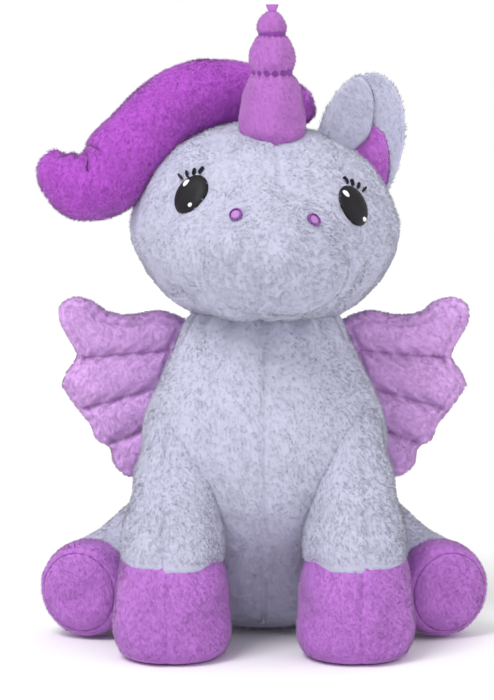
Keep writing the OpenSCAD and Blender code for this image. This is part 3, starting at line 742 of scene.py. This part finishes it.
# %% Tail
tail_points = np.array([(0, 50, 55), (0, 57, 47), (0, 64, 37), (0, 70, 27), (0, 74, 18), (0, 75, 8),
                        (0, 74.5, 4)]) / 1000
tail_radii = np.array([0.004, 0.0095, 0.0115, 0.0138, 0.0142, 0.0100, 0.0016])
tail = mesh_object("tail_cover_pile", *close_rings(stuffed_tube(tail_points, tail_radii, 120, 64, 61, 0.002)))
finish_piece(tail, "tail", purple_pile, ("tail_cover",))
tail_tufts = pile("tail_pile", tail, 1.3, 0.0026, brushed_down, 63, keep=higher_than(0.003))
finish_piece(tail_tufts, "tail", purple_pile)
print("tail points:", len(tail.data.vertices))

# %% [markdown]
# ## The ears
#
# An ear is two layers of cloth with almost nothing between them, cupped forwards. Its inner edge is folded
# over, so only part of the purple lining shows.

# %% Where a point of an ear lies
ear_root, ear_length, ear_half = np.array((0.046, 0, 0.236)), 0.052, 0.0215
ear_ways = {"left": ((0.22, 0.05, 0.97), (0.1, 1, 0)), "right": ((0.34, 0.72, 0.60), (0.1, 1, -1))}


def ear_rows(side):
    """Side, front and length directions of an ear, before mirroring: the left one stands, the right lies back."""
    direction = unit(ear_ways[side][0])
    across = unit(np.cross(ear_ways[side][1], direction))
    return across, np.cross(across, direction), direction


ear_outline = curve_through([(0.80, -0.2), (0.97, 0.1), (1, 0.32), (0.95, 0.52), (0.82, 0.7), (0.62, 0.85),
                             (0.34, 0.96), (0.05, 1.0)], 60)


def ear_place(ways, across, share, depth):
    """Root + side + length + front, cupped by c (1 - x^2)(1 - s^2), with both edges rolled forwards a little."""
    x = across / ear_half
    cup = 0.007 * (1 - x ** 2) * (1 - share ** 2)
    front = depth - cup + 0.0030 * smooth_step(np.abs(x), 0.5, 1.0)
    along = (share * ear_length)[..., None] * ways[2]
    return ear_root + across[..., None] * ways[0] + front[..., None] * ways[1] + along


def ear_pad(ways, shares, inner, outer, middle, half, cols=72):
    """A flat pad on an ear, from across = inner to outer at each share: depth = middle + half * sin(turn)."""
    turn = np.linspace(0, 2 * np.pi, cols, endpoint=False)
    across = (inner + outer)[:, None] / 2 + (outer - inner)[:, None] / 2 * np.cos(turn)
    thick = half * np.minimum(1, np.maximum(outer - inner, 0) / 0.006)[:, None]
    square = np.sign(np.sin(turn)) * np.abs(np.sin(turn)) ** 0.6
    depth = middle + thick * square[None, :]
    return ear_place(ways, across, np.repeat(shares[:, None], cols, 1), depth)


print("ear outline:", ear_outline.shape)

# %% Ears
flap_shares = np.linspace(-0.05, 0.93, 60)
flap_inner = -ear_half * np.interp(flap_shares, ear_outline[:, 1], ear_outline[:, 0]) - 0.0006
flap_edge = curve_through([(-0.05, -9), (0.10, -7.5), (0.22, -3.5), (0.32, 0.5), (0.42, 2.9), (0.56, 3.0), (0.74, 1.3),
                           (0.86, -2.0), (0.93, -6.3)], 120)
flap_outer = np.interp(flap_shares, flap_edge[:, 0], flap_edge[:, 1] / 1000)
lining_shares = np.linspace(-0.18, 0.50, 50)
lining_outer = np.interp(lining_shares, (-0.18, 0, 0.13, 0.30, 0.44, 0.50),
                         (0.012, 0.017, 0.0165, 0.0140, 0.0105, 0.004))
for side, mirror in (("left", 1), ("right", -1)):
    flip = np.array((mirror, 1, 1))
    ways = ear_rows(side)
    half = ear_outline[:, 0] * ear_half
    back = ear_pad(ways, ear_outline[:, 1], -half, half, 0.0016, 0.0022)
    back = back + 0.0006 * undulation(back, 0.02, 71)[..., None] * ways[1]
    ear = mesh_object(f"ear_{side}_cover", *close_rings(back * flip))
    flap = mesh_object(f"ear_{side}_fold", *close_rings(
        ear_pad(ways, flap_shares, flap_inner, np.maximum(flap_outer, flap_inner + 0.001), 0.0052, 0.0030) * flip))
    finish_piece(ear, f"ear_{side}", lavender_pile, (f"ear_{side}_back",))
    finish_piece(flap, f"ear_{side}", lavender_pile)
    for k, base in enumerate((ear, flap)):
        tufts = pile(f"{base.name}_pile", base, 0.9, 0.0022, combed((0.1 * mirror, 0, 1.0)), 73 + k)
        finish_piece(tufts, f"ear_{side}", lavender_pile)
    patch = ear_pad(ways, lining_shares, np.full(50, -0.009), lining_outer, 0.0042, 0.0009)
    lining = mesh_object(f"ear_{side}_lining_cover", *close_rings(patch * flip))
    finish_piece(lining, f"ear_{side}", lining_pile, (f"ear_{side}_lining",))
    tufts = pile(f"ear_{side}_lining_pile", lining, 2.0, 0.0022, combed((0.6 * mirror, 0, 0.5)), 77, root_shade_tip_light=0.09)
    finish_piece(tufts, f"ear_{side}", lining_pile)
print("ears made")

# %% [markdown]
# ## The wings
#
# Each wing is two layers sewn round a scalloped edge, stuffed flat, and quilted with three lines of stitching
# that fan out from the root. The filling stands highest half way between two lines, so the distance to the
# nearest stitch gives the thickness at once.

# %% Wings
wing_middle = np.array((0.072, 0.003, 0.132))
wing_edge = np.array([(32, -4), (29.5, 2), (24, 11), (28, 20), (32.5, 29), (32, 37), (25, 41), (16, 39), (8, 33.5),
                      (-4, 32), (-19, 34), (-33, 28), (-29, 18), (-25, 4), (-21.5, -13), (-18, -28), (-15, -40),
                      (-9, -49), (-2, -51), (5, -45), (7, -36.5), (14, -32), (17.5, -24), (26, -13), (32, -4)]) / 1000
channels = [[(-0.034, 0.015), (0.027, 0.010)], [(-0.028, -0.002), (0.022, -0.016)], [(-0.022, -0.022), (0.012, -0.036)]]
edge_curve = curve_through(wing_edge, 289)[:-1]


def wing_side(facing, share_rows=48):
    """One layer, thick as a quarter circle of (1 - (1 - d / 9.5 mm)^2)^(1/2) at a distance d from a seam."""
    share = np.linspace(0.01, 1, share_rows) ** 0.8
    flat = share[:, None, None] * edge_curve[None]
    rim = from_line(flat, list(map(tuple, edge_curve[::4])) + [tuple(edge_curve[0])])
    stitched = np.min([from_line(flat, c) for c in channels], axis=0)
    near = np.minimum(rim, stitched + 0.0006)
    puff = 0.0006 + 0.0078 * np.sqrt(np.clip(1 - (1 - np.minimum(near / 0.0095, 1)) ** 2, 0, 1))
    puff = puff - 0.0012 * bump_at(rim - 0.0045, 0.0012)
    pucker = 0.0007 * bump_at(np.minimum(stitched, rim), 0.004)
    pucker = pucker * np.sin((flat[..., 0] * 0.8 + flat[..., 1]) * 2 * np.pi / 0.0065)
    puff = np.where(share[:, None] > 0.999, 0.0004, puff + pucker * smooth_step(rim, 0, 0.002))
    return np.stack([flat[..., 0], facing * puff, flat[..., 1]], -1)


for side, mirror in (("left", 1), ("right", -1)):
    flip = np.array((mirror, 1, 1))
    rings = np.concatenate([wing_side(1), wing_side(-1)[::-1][1:]])
    rings = rings + wing_middle
    rings[..., 1] += 0.0010 * undulation(rings * (1, 0, 1), 0.05, 81)
    wing = mesh_object(f"wing_{side}_cover", *close_rings(rings * flip))
    finish_piece(wing, f"wing_{side}", wing_pile, (f"wing_{side}_front", f"wing_{side}_back"))
    tufts = pile(f"wing_{side}_pile", wing, 1.5, 0.0021, combed((0.45 * mirror, 0, -0.9)), 83, root_shade_tip_light=0.09, width=0.0003)
    finish_piece(tufts, f"wing_{side}", wing_pile)
print("wings made")

# %% [markdown]
# ## The legs
#
# A front leg is a sleeve with a seam down its front, ending in a purple hoof with a seam of its own. A hind
# leg starts in a round haunch and turns at the ankle, so that its sole faces forwards.

# %% A leg's seam and its hoof
shoulder, foot = np.array((0.040, -0.034, 0.108)), np.array((0.045, -0.060, 0.050))
hoof_middle = foot * (1, 1, 0)


def groove_front(rings, line_x, depth=0.0016, width=0.0013):
    """A seam down the front of a leg: pulled in where |x - line| is small and the surface faces forwards."""
    middle = rings.mean(1, keepdims=True)
    spoke = unit(rings - middle)
    facing = smooth_step(-spoke[..., 1], 0.2, 0.7)
    near = np.abs(rings[..., 0] - line_x)
    dent = depth * bump_at(near, width) + 0.5 * depth * bump_at(near, 4 * width)
    return rings - spoke * (dent * facing)[..., None]


def finish_hoof(leg, rings, seed):
    """The cover and the pile of one hoof, which stand for the leg's hoof and its sole."""
    cover = mesh_object(f"{leg}_hoof_cover", *close_rings(rings))
    finish_piece(cover, leg, hoof_pile, (f"{leg}_hoof", f"{leg}_sole"))
    tufts = pile(f"{leg}_hoof_pile", cover, 1.6, 0.0016, brushed_down, seed, root_shade_tip_light=0.06, keep=higher_than(0.003))
    finish_piece(tufts, leg, hoof_pile)


print("hoof and seam ready")

# %% Both front legs
down = unit(foot - shoulder)
ball = np.linspace(-np.pi / 2 + 0.12, 0, 16)
path = np.concatenate([shoulder + np.outer(np.sin(ball) * 0.020, down),
                       [shoulder + (foot - shoulder) * t for t in (0.25, 0.5, 0.75, 0.92)],
                       [foot + (0, -0.0005, -0.002), foot + (0, -0.001, -0.007)]])
radii = np.concatenate([np.cos(ball) * 0.0190, [0.0206, 0.0226, 0.0243, 0.0252, 0.0252, 0.0225]])
hoof_rows = curve_through([(0.004, 0.052), (0.0225, 0.0515), (0.0240, 0.049), (0.0259, 0.042), (0.0279, 0.030),
                           (0.0285, 0.019), (0.0276, 0.0085), (0.0252, 0.0030), (0.0210, 0.0006), (0.012, 0.0002),
                           (0.003, 0.0002)], 110)
for side, mirror in (("left", 1), ("right", -1)):
    flip = np.array((mirror, 1, 1))
    leg = f"front_leg_{side}"
    sleeve = groove_front(stuffed_tube(path, radii, 190, 110, 91, 0.001), 0.049, 0.0007, 0.0011)
    sleeve_cover = mesh_object(f"{leg}_cover", *close_rings(sleeve * flip))
    finish_piece(sleeve_cover, leg, lavender_pile, (f"{leg}_sleeve",))
    tufts = pile(f"{leg}_pile", sleeve_cover, 1.0, 0.0023, brushed_down, 93, keep=higher_than(0.050))
    finish_piece(tufts, leg, lavender_pile)
    hoof = turned_profile(hoof_rows, np.linspace(0, 2 * np.pi, 140, endpoint=False)) + hoof_middle
    hoof = groove_front(hoof, 0.0470, 0.0009, 0.0011)
    spoke = unit((hoof - hoof_middle) * (1, 1, 0) + 1e-9)
    hoof = hoof + spoke * (0.0009 * undulation(hoof, 0.025, 95) * smooth_step(hoof[..., 2], 0.001, 0.008))[..., None]
    finish_hoof(leg, hoof * flip, 97)
print("front legs made")

# %% Hind legs
hip, ankle = np.array((0.042, 0.022, 0.044)), np.array((0.085, -0.002, 0.026))
foot_ahead = unit((0.40, -0.90, -0.06))
out = unit(ankle - hip)
ball = np.linspace(-np.pi / 2 + 0.1, 0, 16)
haunch_r = 0.033
hind_path = np.concatenate([hip + np.outer(np.sin(ball) * haunch_r, out),
                            [hip + (ankle - hip) * t for t in (0.3, 0.55, 0.8)],
                            [ankle + foot_ahead * 0.002, ankle + foot_ahead * 0.006]])
hind_radii = np.concatenate([np.cos(ball) * haunch_r, [0.0300, 0.0268, 0.0240, 0.0230, 0.0200]])
sole_rows = curve_through([(0.003, 0.0015), (0.019, 0.001), (0.0228, 0.0025), (0.0243, 0.008), (0.0242, 0.015),
                           (0.0226, 0.0200), (0.0206, 0.0216), (0.0199, 0.0214), (0.0192, 0.0226), (0.0150, 0.0246),
                           (0.008, 0.0256), (0.002, 0.0258)], 130)
foot_side = unit(np.cross(foot_ahead, (0, 0, 1)))
foot_top = np.cross(foot_side, foot_ahead)
for side, mirror in (("left", 1), ("right", -1)):
    flip = np.array((mirror, 1, 1))
    leg = f"hind_leg_{side}"
    sleeve = stuffed_tube(hind_path, hind_radii, 160, 110, 101, 0.0015)
    sleeve[..., 2] = np.maximum(sleeve[..., 2], 0.0006)
    sleeve_cover = mesh_object(f"{leg}_cover", *close_rings(sleeve * flip))
    finish_piece(sleeve_cover, leg, lavender_pile, (f"{leg}_sleeve",))
    tufts = pile(f"{leg}_pile", sleeve_cover, 0.9, 0.0023, brushed_down, 103, keep=higher_than(0.004))
    finish_piece(tufts, leg, lavender_pile)
    local = turned_profile(sole_rows, np.linspace(0, 2 * np.pi, 120, endpoint=False))
    hoof = ankle + local @ np.array([foot_side, foot_top, foot_ahead])
    hoof = hoof + 0.0007 * undulation(hoof, 0.022, 105)[..., None] * foot_ahead
    hoof[..., 2] = np.maximum(hoof[..., 2], 0.0005)
    finish_hoof(leg, hoof * flip, 107)
print("hind legs made")

# %% [markdown]
# ## Filling
#
# The fillings and the pouch are hidden inside their covers, and keep their own solids.

# %% Fillings
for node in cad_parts:
    hidden = bpy.data.objects.get(node)
    if hidden is not None and (node.endswith("filling") or node == "scent_pouch"):
        hidden.data.materials.clear()
        hidden.data.materials.append(pouch_cotton if node == "scent_pouch" else fibre_filling)
print("fillings:", sum(n.endswith("filling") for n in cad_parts))

# %% [markdown]
# ## Floor, light and camera
#
# A pale floor that glows more the further it is from the toy, so that it ends in the same white as the sky, a
# large soft light from above and the front, a weaker one from the right, and a camera a little above the toy.

# %% Floor
floor_mesh = bpy.data.meshes.new("floor")
floor_mesh.from_pydata([(-6, -6, -0.0001), (6, -6, -0.0001), (6, 6, -0.0001), (-6, 6, -0.0001)], [], [(0, 1, 2, 3)])
floor = bpy.data.objects.new("floor", floor_mesh)
bpy.context.collection.objects.link(floor)
paper = bpy.data.materials.new("floor paper")
paper.use_nodes = True
floor_mesh.materials.append(paper)
nodes, links = paper.node_tree.nodes, paper.node_tree.links
surface = nodes["Principled BSDF"]
surface.inputs["Base Color"].default_value = (0.97, 0.97, 0.97, 1)
surface.inputs["Roughness"].default_value = 0.9
surface.inputs["Emission Color"].default_value = (1, 1, 1, 1)
far = nodes.new("ShaderNodeVectorMath")
far.operation = "LENGTH"
far_glow = nodes.new("ShaderNodeMapRange")
far_glow.inputs["From Min"].default_value = 0.25
far_glow.inputs["From Max"].default_value = 0.9
far_glow.inputs["To Max"].default_value = 0.45
links.new(nodes.new("ShaderNodeNewGeometry").outputs["Position"], far.inputs[0])
links.new(far.outputs["Value"], far_glow.inputs["Value"])
links.new(far_glow.outputs["Result"], surface.inputs["Emission Strength"])
print("floor laid")

# %% Sky: white to the camera, and a little dimmer as a light
scene = bpy.context.scene
scene.view_settings.view_transform = "Standard"
scene.world = bpy.data.worlds.new("studio")
scene.world.use_nodes = True
sky = scene.world.node_tree.nodes["Background"]
sky.inputs["Color"].default_value = (1.0, 1.0, 1.0, 1)
seen_by = scene.world.node_tree.nodes.new("ShaderNodeLightPath")
brightness = scene.world.node_tree.nodes.new("ShaderNodeMapRange")
brightness.inputs["To Min"].default_value = 0.78
brightness.inputs["To Max"].default_value = 1.0
scene.world.node_tree.links.new(seen_by.outputs["Is Camera Ray"], brightness.inputs["Value"])
scene.world.node_tree.links.new(brightness.outputs["Result"], sky.inputs["Strength"])
print("sky:", scene.world.name)

# %% Lights

def soft_light(name, place, size, power, aim=(0, 0, 0.15)):
    """A square area light that faces a point of the toy."""
    lamp = bpy.data.lights.new(name, "AREA")
    lamp.size, lamp.energy = size, power
    made = bpy.data.objects.new(name, lamp)
    bpy.context.collection.objects.link(made)
    made.location = place
    toward = np.array(aim) - np.array(place)
    tilt = np.arccos(-toward[2] / np.linalg.norm(toward))
    made.rotation_euler = (tilt, 0, np.arctan2(toward[1], toward[0]) - np.pi / 2)


soft_light("key", (-0.7, -1.0, 1.7), 0.8, 22)
soft_light("fill", (1.2, -0.9, 0.9), 1.2, 3)
print("lit")

# %% Camera
camera_data = bpy.data.cameras.new("camera")
camera = bpy.data.objects.new("camera", camera_data)
bpy.context.collection.objects.link(camera)
camera_data.sensor_fit = "VERTICAL"
camera_data.sensor_height = 24
camera_data.lens = 24 * 2350 / 700
camera_data.shift_x = -17 / 700
camera_data.shift_y = -6 / 700
camera.location = (0.0, -1.2, 0.25)
camera.rotation_euler = (np.radians(90 - 4.8), 0, 0)
scene.camera = camera
print("camera at", tuple(camera.location))
